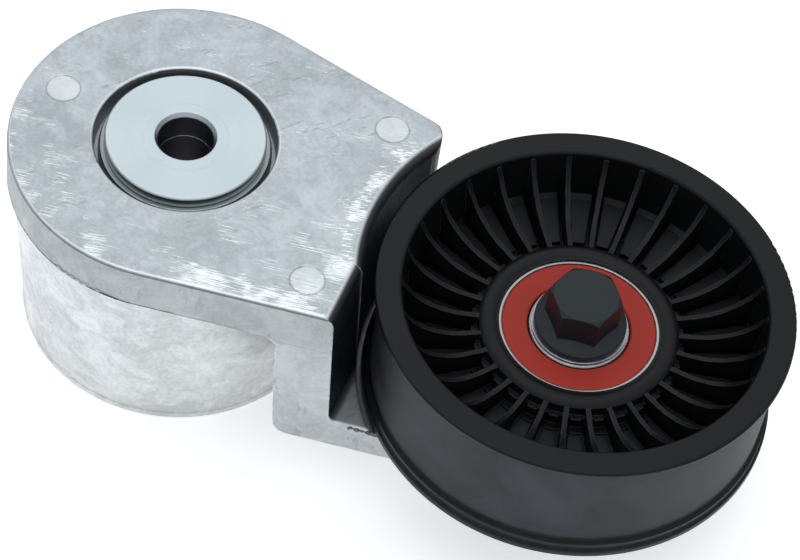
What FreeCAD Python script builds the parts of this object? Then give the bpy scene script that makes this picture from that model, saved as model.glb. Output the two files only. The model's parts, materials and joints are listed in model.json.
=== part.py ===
import FreeCAD, Part
import math
import os
from FreeCAD import Vector

# Belt tensioner with a smooth idler pulley.  Millimetres.
# Origin: centre of the mounting bore on the rear face of the spring case.
# +Z runs out of the bore to the front, +X from the arm pivot to the pulley.

# ---- driving dimensions ----
CENTRES = 99.6              # arm pivot to pulley axis
BORE_R = 6.5                # clearance for an M12 mounting bolt
TUBE_R = 9.5                # outside of the fixed pivot tube
RUN = 0.05                  # radial clearance of a running fit
FACE_GAP = 0.1              # axial clearance between faces that turn on each other
BODY_GAP = 0.3              # clearance between bodies that must not touch

CASE_FOOT_R = 37.9          # spring case at the mounting face
CASE_RIM_R = 40.0           # spring case at its rim
CASE_RIM = 48.2             # height of the rim
CASE_FLOOR = 5.0
CASE_BORE_R = 36.6          # machined bore that the damping ring rubs on
DOWEL_R = 3.05              # locating hole for a 6 mm dowel
DOWEL_PITCH = 22.0
DOWEL_DEPTH = 6.5

ARM_R = 41.0                # arm head at its front face
ARM_FRONT = 60.1            # front face of the arm
ARM_SKIRT = CASE_RIM + BODY_GAP     # lower edge of the skirt that covers the case rim
ARM_FOOT = 13.3             # rear face of the lower plate
PLATE_TOP = 22.6            # front face of the lower plate
UPPER_SIDE = 77.2           # azimuth where the arm's upper side leaves the head
LOWER_SIDE = -81.5          # and its lower side
ARM_DRAFT = 0.9             # growth of the head radius from front face to foot
RECESS_R = 21.35
RECESS_FLOOR = 54.4
HEAD_CEILING = 52.8         # underside of the arm head inside its skirt
HUB_R = 16.5                # arm hub that turns on the pivot tube
HUB_BORE_R = 11.5
HUB_END = 10.5
POCKET_R = 51.3             # arm wall around the pulley, at the front
POCKET_DRAFT = 1.4
ROLL_R = 3.0                # rolled front edge of that wall
BOSS_R = 21.0               # lower plate under the pulley
BOSS_CORE_R = 13.5          # raised middle of that boss
BOSS_FRONT = 30.6           # face that the rear dust shield lies on
PLATE_DIP = 2.2             # the lower plate is this much lower under the pulley
SPIGOT_R = 8.5              # spigot in the bearing bore
SPIGOT_FRONT = 44.1
RELIEF = 4.0                # depth of the pocket under the lower plate, and its rim's width
MARK_R = 4.0                # ejector pin marks on the front face
MARK_DEPTH = 0.25

STOP_START = 84.0           # azimuth of the stop lug at the free arm position
STOP_WIDTH = 12.0
ARM_TRAVEL = 55.0           # degrees from free arm stop to load stop
STOP_SLACK = 0.6

DISC_R = 18.8
DISC_TOP = 60.84
DISC_BACK = 57.9
DISC_SPIGOT_R = 7.9         # the disc's spigot in the front end of the tube
DISC_SPIGOT_END = 53.2
WASHER_FRONT = 56.4         # where the wear washer meets its backing washer

BAND_LOW = 43.2             # damping ring
BAND_R = 34.3
ANCHOR_R = 33.0             # the arm's spring anchor stays inside this radius

PULLEY_REAR = 22.37
PULLEY_FRONT = 56.37
BELT_R = 46.9               # face that the belt's back runs on
FLANGE_R = 48.6
SHELL_INNER_R = 42.9
HUB_SEAT_R = 20.0
RIBS = 30
RIB_THICK = 1.15
RIB_INNER_R = 23.3

WEB_MIDDLE = 36.2           # rear of the pulley's web

BEARING_REAR = 32.8         # 17 x 40 x 12 mm deep groove ball bearing
BEARING_WIDTH = 12.0
BEARING_MID = BEARING_REAR + BEARING_WIDTH / 2
BEARING_FRONT = BEARING_REAR + BEARING_WIDTH
BALLS = 8
BALL_R = 3.373
BALL_PITCH_R = 14.25
GROOVE_R = 3.46
BOLT_SEAT = 45.6            # rear face of the bolt's flange
BOLT_TOP = 56.5
HEX_WIDTH = 15.0            # across flats
FLANGE_EDGE_R = 10.75
SPACER_R = 11.35
SEAL_R = 18.1               # edge of the seals and of the recess in the outer ring that holds them
LIP_R = 18.65               # the pulley's moulded lips reach this far over the outer ring
HEX_TURN = 8.0              # how far the tightened head is turned

SPRING_WIRE_R = 2.4
SPRING_R = 30.4
SPRING_LOW = 9.6
SPRING_TURNS = 5.5
SPRING_PITCH = 6.2
SPRING_LEG = 8.0            # straight end of the wire


# ---- small tools ----
def on_circle(x, z, radius, degrees):
    angle = math.radians(degrees)
    return x + radius * math.cos(angle), z + radius * math.sin(angle)


def xz(x, z):
    return Vector(x, 0, z)


def xy(x, y):
    return Vector(x, y, 0)


def closed_face(place, start, *moves):
    """Face from a start point and moves: (a, b) draws a line, (am, bm, a, b) an arc."""
    edges = []
    here = place(*start)
    for move in moves:
        there = place(*move[-2:])
        if len(move) == 4:
            edges.append(Part.Arc(here, place(*move[:2]), there).toShape())
        else:
            edges.append(Part.makeLine(here, there))
        here = there
    if here.distanceToPoint(place(*start)) > 1e-6:
        edges.append(Part.makeLine(here, place(*start)))
    return Part.Face(Part.Wire(edges))


def turned(start, *moves, x=0.0, sweep=360.0, azimuth=0.0):
    """Solid turned about the vertical line through x from an outline of (radius, height)."""
    solid = closed_face(xz, start, *moves).revolve(Vector(0, 0, 0), Vector(0, 0, 1), sweep)
    solid.rotate(Vector(0, 0, 0), Vector(0, 0, 1), azimuth)
    solid.translate(Vector(x, 0, 0))
    return solid


def rod(radius, low, high, x=0.0, y=0.0):
    return Part.makeCylinder(radius, high - low, Vector(x, y, low))


def ring(inner, outer, low, high, x=0.0, sweep=360.0, azimuth=0.0):
    corners = (inner, low), (outer, low), (outer, high), (inner, high)
    return turned(*corners, x=x, sweep=sweep, azimuth=azimuth)


def block(x_size, y_size, low, high, x=0.0, y=0.0):
    return Part.makeBox(x_size, y_size, high - low, Vector(x - x_size / 2, y - y_size / 2, low))


def copies(shape, count, x=0.0, start=0.0):
    """Equally spaced copies about the vertical line through x."""
    made = []
    for number in range(count):
        copy = shape.copy()
        copy.rotate(Vector(x, 0, 0), Vector(0, 0, 1), start + number * 360.0 / count)
        made.append(copy)
    return made


def cyl(radius, azimuth):
    return on_circle(0, 0, radius, azimuth)


# ---- fixed body ----
def spring_case():
    """Die-cast cup: drafted wall, floor with a boss for the tube, rim notch for the stop."""
    cup = turned(
        (TUBE_R, 0), (CASE_FOOT_R - 0.9, 0), (CASE_FOOT_R, 0.9), (CASE_FOOT_R + 0.1, 2.4),
        (CASE_FOOT_R - 0.15, 2.8), (CASE_RIM_R - 0.1, CASE_RIM - 0.8), (CASE_RIM_R - 0.9, CASE_RIM),
        (CASE_BORE_R, CASE_RIM), (CASE_BORE_R, 42.6), (35.9, 42.2), (34.5, CASE_FLOOR + 2),
        (33.9, CASE_FLOOR + 0.6, 32.5, CASE_FLOOR), (15.6, CASE_FLOOR), (15.2, 9), (TUBE_R, 9))
    channel = ring(17.5, 30.5, -1, 1.7)
    webs = copies(block(20, 3.2, -2, 3, x=24), 8, start=22.5)
    pad = rod(6.2, -2, 3, x=-DOWEL_PITCH)
    channel = channel.cut(webs + [pad])
    dowel_boss = rod(5.7, 4, 9, x=-DOWEL_PITCH)
    anchor = block(7.4, 5, 4, 12.4, x=29.4, y=SPRING_LEG + 2.6)
    notch = ring(CASE_BORE_R - 1, CASE_RIM_R + 2, 42.4, CASE_RIM + 1, azimuth=STOP_START - STOP_SLACK,
                 sweep=STOP_WIDTH + ARM_TRAVEL + 2 * STOP_SLACK)
    cup = cup.fuse([dowel_boss, anchor])
    return cup.cut([channel, notch, rod(DOWEL_R, -1, DOWEL_DEPTH, x=-DOWEL_PITCH)])


def pivot_tube():
    """Steel tube that the mounting bolt passes through; the front end takes the disc's spigot."""
    return turned((BORE_R, 0), (TUBE_R - 0.5, 0), (TUBE_R, 0.5), (TUBE_R, DISC_BACK),
                  (DISC_SPIGOT_R, DISC_BACK), (DISC_SPIGOT_R, DISC_SPIGOT_END), (BORE_R, DISC_SPIGOT_END))


def front_cap_disc():
    """Turned and plated disc that keeps the arm on the tube."""
    return turned(
        (BORE_R, DISC_SPIGOT_END), (DISC_SPIGOT_R, DISC_SPIGOT_END), (DISC_SPIGOT_R, DISC_BACK),
        (DISC_R - 0.3, DISC_BACK),
        (DISC_R, DISC_BACK + 0.3), (DISC_R, DISC_TOP - 0.35), (DISC_R - 0.35, DISC_TOP),
        (10.1, DISC_TOP), (9.95, DISC_TOP - 0.05), (9.8, DISC_TOP), (7.3, DISC_TOP), (BORE_R, DISC_TOP - 1.0))


def thrust_washer():
    """Polymer washer that the arm's recess floor rubs on."""
    return ring(TUBE_R + 0.1, 20.2, RECESS_FLOOR + FACE_GAP, WASHER_FRONT)


def backing_washer():
    """Steel washer with rounded edges between the wear washer and the disc."""
    outside, edge = 19.9, 0.2
    return turned((TUBE_R + 0.1, WASHER_FRONT), (outside - edge, WASHER_FRONT), (outside, WASHER_FRONT + edge),
                  (outside, DISC_BACK - edge), (outside - edge, DISC_BACK), (TUBE_R + 0.1, DISC_BACK))


def rear_thrust_washer():
    """Polymer washer with oil grooves between the case boss and the end of the arm hub."""
    washer = ring(TUBE_R + 0.1, 15.0, 9.0, HUB_END - FACE_GAP)
    return washer.cut(copies(block(12, 1.0, 10.0, 12, x=12.5), 6))


def spring_seat():
    """Moulded ring between the spring's lower end coil and the case floor."""
    top = SPRING_LOW - SPRING_WIRE_R - 0.35
    seat = turned((27.0, CASE_FLOOR), (32.4, CASE_FLOOR), (32.4, top), (27.9, top), (27.9, 11), (27.0, 11))
    dowel_room = rod(6.0, 0, 20, x=-DOWEL_PITCH)
    anchor_room = block(9, 6, 0, 20, x=30.0, y=SPRING_LEG + 3.0)
    return seat.cut([dowel_room, anchor_room])


def torsion_spring():
    """Left-hand coil of round wire with a straight leg along the tangent at each end."""
    height = SPRING_TURNS * SPRING_PITCH
    rise = SPRING_PITCH / (2 * math.pi * SPRING_R)
    helix = Part.makeHelix(SPRING_PITCH, height, SPRING_R)
    helix.translate(Vector(0, 0, SPRING_LOW))
    low_tip = Vector(SPRING_R, -SPRING_LEG, SPRING_LOW - SPRING_LEG * rise)
    high_tip = Vector(-SPRING_R, -SPRING_LEG, SPRING_LOW + height + SPRING_LEG * rise)
    low_leg = Part.makeLine(low_tip, Vector(SPRING_R, 0, SPRING_LOW))
    high_leg = Part.makeLine(Vector(-SPRING_R, 0, SPRING_LOW + height), high_tip)
    path = Part.Wire([low_leg] + helix.Edges + [high_leg])
    section = Part.Wire(Part.Circle(low_tip, Vector(0, 1, rise), SPRING_WIRE_R).toShape())
    coil = path.makePipeShell([section], True, True)
    return coil.mirror(Vector(0, 0, 0), Vector(0, 1, 0))


# ---- arm body ----
def side_line_point(radius, azimuth, x):
    """Point at x on the line that touches the head circle at this azimuth."""
    touch_x, touch_y = cyl(radius, azimuth)
    return x, touch_y - (x - touch_x) / math.tan(math.radians(azimuth))


def arm_outline(radius, x_end, height):
    """Wire of the head circle with both straight sides, closed by a line at x_end."""
    low_touch = cyl(radius, LOWER_SIDE)
    high_touch = cyl(radius, UPPER_SIDE)
    low_corner = side_line_point(radius, LOWER_SIDE, x_end)
    high_corner = side_line_point(radius, UPPER_SIDE, x_end)
    face = closed_face(xy, low_touch, low_corner, high_corner, high_touch, (-radius, 0) + low_touch)
    wire = face.OuterWire
    wire.translate(Vector(0, 0, height))
    return wire


def arm_blank():
    """Drafted block of the arm's plan with the leg's side profile cut from it."""
    x_end = 70.0
    foot = arm_outline(ARM_R + ARM_DRAFT, x_end, ARM_FOOT)
    front = arm_outline(ARM_R, x_end, ARM_FRONT)
    blank = Part.makeLoft([foot, front], True, True)
    front_edges = [edge for edge in blank.Edges
                   if edge.BoundBox.ZMin > ARM_FRONT - 0.01 and edge.BoundBox.XMin < x_end - 1]
    blank = blank.makeFillet(0.9, front_edges)
    leg_x = 38.4
    foot_x = 39.85
    under, heel = 3.5, 4.0
    side = closed_face(
        xz, (-60, ARM_SKIRT), (leg_x - under, ARM_SKIRT),
        on_circle(leg_x - under, ARM_SKIRT - under, under, 45) + (leg_x, ARM_SKIRT - under),
        (foot_x, ARM_FOOT + heel),
        on_circle(foot_x + heel, ARM_FOOT + heel, heel, 225) + (foot_x + heel, ARM_FOOT),
        (90, ARM_FOOT), (90, 70), (-60, 70)).extrude(Vector(0, 120, 0))
    side.translate(Vector(0, -60, 0))
    return blank.common(side)


def pulley_pocket():
    """Space for the pulley: a drafted round wall with a rolled front edge, flat towards one side."""
    wall_foot = POCKET_R - POCKET_DRAFT
    root = 2.0
    round_wall = turned(
        (0, PLATE_TOP), (wall_foot - root, PLATE_TOP),
        on_circle(wall_foot - root, PLATE_TOP + root, root, -45) + (wall_foot, PLATE_TOP + root),
        (POCKET_R, ARM_FRONT - ROLL_R),
        on_circle(POCKET_R + ROLL_R, ARM_FRONT - ROLL_R, ROLL_R, 135) + (POCKET_R + ROLL_R, ARM_FRONT),
        (POCKET_R + ROLL_R, 70), (0, 70), x=CENTRES)
    flat_x = 50.9
    flat_foot_x = flat_x + 1.7
    flat_wall = closed_face(
        xz, (90, PLATE_TOP), (90, 70), (flat_x - ROLL_R, 70), (flat_x - ROLL_R, ARM_FRONT),
        on_circle(flat_x - ROLL_R, ARM_FRONT - ROLL_R, ROLL_R, 45) + (flat_x, ARM_FRONT - ROLL_R),
        (flat_foot_x, PLATE_TOP + root),
        on_circle(flat_foot_x + root, PLATE_TOP + root, root, 225) + (flat_foot_x + root, PLATE_TOP),
    ).extrude(Vector(0, 44, 0))
    flat_wall.translate(Vector(0, -61, 0))
    under_pulley = rod(FLANGE_R + 1.1, PLATE_TOP - PLATE_DIP, PLATE_TOP + 5, x=CENTRES)
    return [round_wall, flat_wall, under_pulley]


def touch_point(px, py, radius, side):
    """Where the line from a point touches the boss circle, on the given side."""
    dx, dy = CENTRES - px, -py
    reach = math.hypot(dx, dy)
    turn = math.atan2(dy, dx) + side * math.asin(radius / reach)
    length = math.sqrt(reach * reach - radius * radius)
    return px + length * math.cos(turn), py + length * math.sin(turn)


def boss_plate(inset, low, high):
    """Taper of the lower plate from x = 68 to the round boss under the pulley."""
    radius = BOSS_R - inset
    start_x = 68.0
    low_start = side_line_point(ARM_R + ARM_DRAFT - 0.1 - inset, LOWER_SIDE, start_x)
    high_start = side_line_point(ARM_R + ARM_DRAFT - 0.1 - inset, UPPER_SIDE, start_x)
    low_touch = touch_point(*low_start, radius, -1)
    high_touch = touch_point(*high_start, radius, 1)
    face = closed_face(xy, low_start, low_touch, (CENTRES + radius, 0) + high_touch, high_start)
    face.translate(Vector(0, 0, low))
    return face.extrude(Vector(0, 0, high - low))


def lower_plate_relief():
    """Shallow pocket under the lower plate that leaves a rim, a centre rib and the boss."""
    plan = boss_plate(RELIEF, ARM_FOOT - 1, ARM_FOOT + RELIEF)
    leg_part = arm_outline(ARM_R + ARM_DRAFT - 0.1 - RELIEF, 68.5, ARM_FOOT - 1)
    leg_part = Part.Face(leg_part).extrude(Vector(0, 0, RELIEF + 1)).common(block(20, 90, 0, 30, x=59))
    centre_rib = block(70, 3.0, 0, 30, x=80)
    return plan.fuse(leg_part).cut([centre_rib, rod(BOSS_CORE_R, 0, 30, x=CENTRES)])


def corner_trim():
    """What lies outside the round vertical corner between the upper side and the pulley wall."""
    centre_x, centre_y, radius, reach = 48.6, 25.2, 5.5, 16.0
    side = on_circle(centre_x, centre_y, reach, UPPER_SIDE)
    wall = on_circle(centre_x, centre_y, reach, -29)
    far = on_circle(centre_x, centre_y, 1.5 * reach, UPPER_SIDE / 2 - 29 / 2)
    wedge = closed_face(xy, (centre_x, centre_y), wall, far, side).extrude(Vector(0, 0, 80))
    return wedge.cut(rod(radius, -1, 81, x=centre_x, y=centre_y))


def pin_mark(x, y):
    """Shallow round mark of an ejector pin."""
    return rod(MARK_R, ARM_FRONT - MARK_DEPTH, ARM_FRONT + 1, x=x, y=y)


def arm():
    """Die-cast arm: head over the case, leg down past it, lower plate that carries the bearing."""
    body = arm_blank().cut(pulley_pocket() + [corner_trim().common(block(200, 200, PLATE_TOP, 90))])
    case_room = rod(ARM_R, 0, ARM_SKIRT)
    body = body.cut(case_room)
    plate = boss_plate(0, ARM_FOOT, PLATE_TOP - PLATE_DIP)
    boss = turned((0, ARM_FOOT), (BOSS_CORE_R, ARM_FOOT), (BOSS_CORE_R, PLATE_TOP - 3), (12.2, BOSS_FRONT),
                  (SPIGOT_R, BOSS_FRONT), (SPIGOT_R, SPIGOT_FRONT - 0.5), (SPIGOT_R - 0.5, SPIGOT_FRONT),
                  (0, SPIGOT_FRONT), x=CENTRES)
    hub = turned((HUB_BORE_R, HUB_END), (HUB_R - 0.6, HUB_END), (HUB_R, HUB_END + 0.6), (HUB_R, 53),
                 (HUB_BORE_R, 53))
    stop_lug = ring(37.2, 39.6, 42.9, 50, azimuth=STOP_START, sweep=STOP_WIDTH)
    body = body.cut(ring(24, 37.4, ARM_SKIRT - 1, HEAD_CEILING))
    neck = Part.Face(arm_outline(ARM_R - 4, 36.5, ARM_SKIRT - 1)).extrude(Vector(0, 0, 5.6))
    body = body.cut(neck.cut(rod(42, 0, 70)))
    anchor = block(7.0, 5, 41, 53, x=-30.2, y=SPRING_LEG + 2.7).common(rod(ANCHOR_R, 0, 70))
    body = body.fuse([plate, boss, hub, stop_lug, anchor])
    recess = turned((0, RECESS_FLOOR), (RECESS_R, RECESS_FLOOR), (RECESS_R, ARM_FRONT - 0.7),
                    on_circle(RECESS_R + 0.7, ARM_FRONT - 0.7, 0.7, 135) + (RECESS_R + 0.7, ARM_FRONT),
                    (RECESS_R + 0.7, 70), (0, 70))
    bore = rod(HUB_BORE_R, 0, 70)
    grease_space = ring(5, 12.3, 22, 43)
    thread = rod(5.0, 0, 70, x=CENTRES)
    marks = [pin_mark(-31.8, 1.5), pin_mark(42.4, 23.6), pin_mark(41.1, -25.9)]
    return body.cut([recess, bore, grease_space, thread, lower_plate_relief()] + marks)


def pivot_bushing(low, high):
    return ring(TUBE_R + RUN, HUB_BORE_R, low, high)


def damping_ring():
    """Split nylon ring that the arm carries round in the case bore."""
    band = ring(BAND_R, CASE_BORE_R - FACE_GAP, BAND_LOW, HEAD_CEILING - FACE_GAP)
    grooves = copies(block(4, 1.2, 40, 51, x=36.8), 12, start=10)
    split = block(8, 2.4, 40, 60, x=35.5)
    split.rotate(Vector(0, 0, 0), Vector(0, 0, 1), -150)
    return band.cut(grooves + [split])


def damping_spring():
    """Split steel band inside the damping ring that presses it outwards."""
    return ring(BAND_R - 0.8, BAND_R - RUN, 46.7, 51.7, azimuth=-146, sweep=352)


def rear_dust_shield():
    """Pressed steel shield clamped between the arm boss and the inner ring."""
    return turned((SPIGOT_R + RUN, BOSS_FRONT), (12.5, BOSS_FRONT), (14.5, 28.6), (19.0, 28.6), (20.4, 30.0),
                  (20.4, 31.6), (19.6, 31.6), (19.6, 30.4), (18.6, 29.4), (14.9, 29.4),
                  (11.4, BEARING_REAR), (SPIGOT_R + RUN, BEARING_REAR), x=CENTRES)


def bearing_inner_ring():
    rim = 11.8
    half = math.sqrt(GROOVE_R ** 2 - (BALL_PITCH_R - rim) ** 2)
    return turned(
        (SPIGOT_R, BEARING_REAR + 0.6), (SPIGOT_R + 0.6, BEARING_REAR), (rim - 0.3, BEARING_REAR),
        (rim, BEARING_REAR + 0.3), (rim, BEARING_MID - half),
        (BALL_PITCH_R - GROOVE_R, BEARING_MID, rim, BEARING_MID + half),
        (rim, BEARING_FRONT - 0.3), (rim - 0.3, BEARING_FRONT), (SPIGOT_R + 0.6, BEARING_FRONT),
        (SPIGOT_R, BEARING_FRONT - 0.6), x=CENTRES)


def front_spacer():
    """Washer between the inner ring and the bolt's flange."""
    return ring(5.3, SPACER_R, BEARING_FRONT, BOLT_SEAT, x=CENTRES)


def pulley_bolt():
    """M10 flange bolt with a 15 mm hexagon."""
    head_r = HEX_WIDTH / math.sqrt(3)
    corners = [Vector(*on_circle(CENTRES, 0, head_r, HEX_TURN + 60 * k), BOLT_SEAT) for k in range(7)]
    prism = Part.Face(Part.makePolygon(corners)).extrude(Vector(0, 0, BOLT_TOP - BOLT_SEAT))
    dome = turned((0, BOLT_SEAT), (head_r + 0.1, BOLT_SEAT), (head_r + 0.1, BOLT_TOP - 0.9),
                  (HEX_WIDTH / 2 - 0.05, BOLT_TOP), (0, BOLT_TOP), x=CENTRES)
    flange = turned((0, BOLT_SEAT), (FLANGE_EDGE_R - 0.25, BOLT_SEAT), (FLANGE_EDGE_R, BOLT_SEAT + 0.25),
                    (FLANGE_EDGE_R, 46.9), (FLANGE_EDGE_R - 0.2, 47.1), (7.6, 48.6), (0, 48.6), x=CENTRES)
    shank = turned((0, 14.4), (4.1, 14.4), (4.95, 15.4), (4.95, BOLT_SEAT + 0.5), (0, BOLT_SEAT + 0.5), x=CENTRES)
    return prism.common(dome).fuse([flange, shank])


# ---- pulley body ----
def pulley_shell():
    """Turned form of the pulley: rim, belt face, web and the hub moulded on the bearing."""
    return turned(
        # bearing seat, held by a lip at each face
        (HUB_SEAT_R, BEARING_REAR), (HUB_SEAT_R, BEARING_FRONT), (LIP_R, BEARING_FRONT),
        (LIP_R + 0.1, 45.2), (19.3, 45.3), (21.4, 45.8, RIB_INNER_R, 44.9), (23.5, 42.6), (24.9, 42.6),
        (25.0, 40.0),
        # front of the web: inner pad, groove, outer pad
        (27.0, 40.2), (27.05, 39.2), (27.55, 39.2), (27.65, 40.7), (39.6, 42.5), (40.6, 43.4),
        # inside of the front rim
        (42.1, PULLEY_FRONT - 1.2), (42.3, PULLEY_FRONT - 0.4, SHELL_INNER_R, PULLEY_FRONT),
        (47.7, PULLEY_FRONT), (48.35, PULLEY_FRONT - 0.2, 48.5, PULLEY_FRONT - 0.8), (48.3, 55.25),
        # belt face between the flanges
        (47.3, 54.9), (BELT_R, 54.3), (BELT_R, 27.6), (47.0, 26.9, 47.5, 26.7), (47.9, 26.5),
        (47.95, 24.7), (48.5, 24.4), (FLANGE_R, 24.0), (FLANGE_R, 22.9), (48.2, PULLEY_REAR),
        # inside of the rear rim and rear of the web
        (43.2, PULLEY_REAR), (42.6, 23.0), (41.2, 33.0), (39.0, WEB_MIDDLE - 0.6), (25.2, WEB_MIDDLE),
        (23.4, 32.4), (22.8, 32.0), (LIP_R, 32.0), (LIP_R, BEARING_REAR), x=CENTRES)


def rib_slot():
    """Gap in the raised pads that one rib stands in."""
    return block(16.6, 2.9, 39.3, 60, x=CENTRES + 32.6)


def front_rib():
    """Thin rib whose front edge sweeps up in an arc from the hub to the rim."""
    arc_x, arc_z, arc_r = 26.4, 62.2, 17.2
    outline = closed_face(
        xz, (RIB_INNER_R - 0.4, 38), (43.3, 38), (43.3, 55.0), on_circle(arc_x, arc_z, arc_r, -24.9),
        on_circle(arc_x, arc_z, arc_r, -55) + (arc_x, arc_z - arc_r), (RIB_INNER_R - 0.4, 44.9))
    rib = outline.extrude(Vector(0, RIB_THICK, 0))
    rib.translate(Vector(CENTRES, -RIB_THICK / 2, 0))
    return rib


def rear_rib():
    """The same kind of rib on the rear of the web."""
    arc_x, arc_z, arc_r = 26.4, 19.0, 14.5
    outline = closed_face(
        xz, (RIB_INNER_R - 0.4, 38), (43.5, 38), (43.5, 25.0), on_circle(arc_x, arc_z, arc_r, 24.4),
        on_circle(arc_x, arc_z, arc_r, 55) + (arc_x, arc_z + arc_r), (RIB_INNER_R - 0.4, 33.5))
    rib = outline.extrude(Vector(0, RIB_THICK, 0))
    rib.translate(Vector(CENTRES, -RIB_THICK / 2, 0))
    return rib


def pulley():
    shell = pulley_shell().cut(copies(rib_slot(), RIBS, x=CENTRES, start=6))
    ribs = copies(front_rib(), RIBS, x=CENTRES, start=6) + copies(rear_rib(), RIBS, x=CENTRES, start=6)
    return shell.fuse(ribs).removeSplitter()


def bearing_outer_ring():
    rim = 16.7
    half = math.sqrt(GROOVE_R ** 2 - (rim - BALL_PITCH_R) ** 2)
    outside = HUB_SEAT_R
    return turned(
        (outside - 0.6, BEARING_REAR), (outside, BEARING_REAR + 0.6), (outside, BEARING_FRONT - 0.6),
        (outside - 0.6, BEARING_FRONT), (SEAL_R, BEARING_FRONT), (SEAL_R, BEARING_FRONT - 1.3),
        (rim, BEARING_FRONT - 1.6), (rim, BEARING_MID + half),
        (BALL_PITCH_R + GROOVE_R, BEARING_MID, rim, BEARING_MID - half),
        (rim, BEARING_REAR + 1.6), (SEAL_R, BEARING_REAR + 1.3), (SEAL_R, BEARING_REAR), x=CENTRES)


def bearing_seal(front):
    """Flat rubber seal with rounded edges; its lip stays clear of the inner ring."""
    face = BEARING_FRONT - 0.1
    edge = SEAL_R - RUN
    lip = 12.05
    outline = [(lip, face - 0.9), (lip, face - 0.3), (lip + 0.3, face), (edge - 0.5, face),
               (edge - 0.25, face - 0.08), (edge, face - 0.3), (edge, face - 1.1), (edge - 0.5, face - 1.2),
               (edge - 0.9, face - 0.9)]
    if not front:
        outline = [(r, 2 * BEARING_MID - z) for r, z in outline]
    return turned(*outline, x=CENTRES)


# ---- rolling set ----
def ball_places():
    return [on_circle(CENTRES, 0, BALL_PITCH_R, 360.0 * k / BALLS) for k in range(BALLS)]


def bearing_balls():
    return Part.makeCompound([Part.makeSphere(BALL_R, Vector(x, y, BEARING_MID)) for x, y in ball_places()])


def cage_half(front):
    """Pressed ribbon: a flat ring with a round pocket over each ball."""
    pocket_r, skin = BALL_R + 0.12, 0.5
    limits = ring(13.0, 15.5, BEARING_MID, BEARING_MID + 6, x=CENTRES)
    band = ring(13.4, 15.1, BEARING_MID, BEARING_MID + 0.5, x=CENTRES)
    caps = [Part.makeSphere(pocket_r + skin, Vector(x, y, BEARING_MID)) for x, y in ball_places()]
    rooms = [Part.makeSphere(pocket_r, Vector(x, y, BEARING_MID)) for x, y in ball_places()]
    half = Part.makeCompound(caps).common(limits)
    half = band.fuse(half.Solids).cut(rooms)
    if front:
        return half
    return half.mirror(Vector(CENTRES, 0, BEARING_MID), Vector(0, 0, 1))


def cage_rivets():
    rivets = []
    for number in range(BALLS):
        x, y = on_circle(CENTRES, 0, BALL_PITCH_R, 360.0 * (number + 0.5) / BALLS)
        shank = rod(0.5, BEARING_MID - 0.5, BEARING_MID + 0.5, x, y)
        heads = [rod(0.8, BEARING_MID + 0.5, BEARING_MID + 0.9, x, y),
                 rod(0.8, BEARING_MID - 0.9, BEARING_MID - 0.5, x, y)]
        rivets.append(shank.fuse(heads))
    return Part.makeCompound(rivets)


def drilled_for_rivets(half):
    holes = [rod(0.5, BEARING_MID - 3, BEARING_MID + 3, *on_circle(CENTRES, 0, BALL_PITCH_R, 45.0 * k + 22.5))
             for k in range(BALLS)]
    return half.cut(holes)


def build():
    return {
        "spring_case": spring_case(),
        "pivot_tube": pivot_tube(),
        "front_cap_disc": front_cap_disc(),
        "thrust_washer": thrust_washer(),
        "backing_washer": backing_washer(),
        "rear_thrust_washer": rear_thrust_washer(),
        "spring_seat": spring_seat(),
        "torsion_spring": torsion_spring(),
        "arm": arm(),
        "pivot_bushing_front": pivot_bushing(44.0, 54.2),
        "pivot_bushing_rear": pivot_bushing(10.7, 21.0),
        "damping_ring": damping_ring(),
        "damping_spring": damping_spring(),
        "rear_dust_shield": rear_dust_shield(),
        "bearing_inner_ring": bearing_inner_ring(),
        "front_spacer": front_spacer(),
        "pulley_bolt": pulley_bolt(),
        "pulley": pulley(),
        "bearing_outer_ring": bearing_outer_ring(),
        "bearing_seal_front": bearing_seal(True),
        "bearing_seal_rear": bearing_seal(False),
        "bearing_balls": bearing_balls(),
        "bearing_cage_front": drilled_for_rivets(cage_half(True)),
        "bearing_cage_rear": drilled_for_rivets(cage_half(False)),
        "cage_rivets": cage_rivets(),
    }


os.makedirs("parts", exist_ok=True)
for name, shape in build().items():
    shape.exportStep("parts/" + name + ".step")
    box = shape.BoundBox
    print(name, "solids", len(shape.Solids), "valid", shape.isValid(), "volume", round(shape.Volume, 1),
          "z", round(box.ZMin, 2), round(box.ZMax, 2))
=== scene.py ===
# %% [markdown]
# # A belt tensioner with a smooth idler pulley
# The real object is a spring case that bolts to an engine, an arm that swings on it, and a
# black pulley at the end of the arm. Its shapes are finished in CAD, so this lesson is about
# surfaces: cast aluminium, plated and blackened steel, moulded nylon and rubber. We load the
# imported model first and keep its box, because nothing that we add may make it bigger.

import json
import math

import bmesh
import bpy
from mathutils import Matrix, Vector, noise


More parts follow.
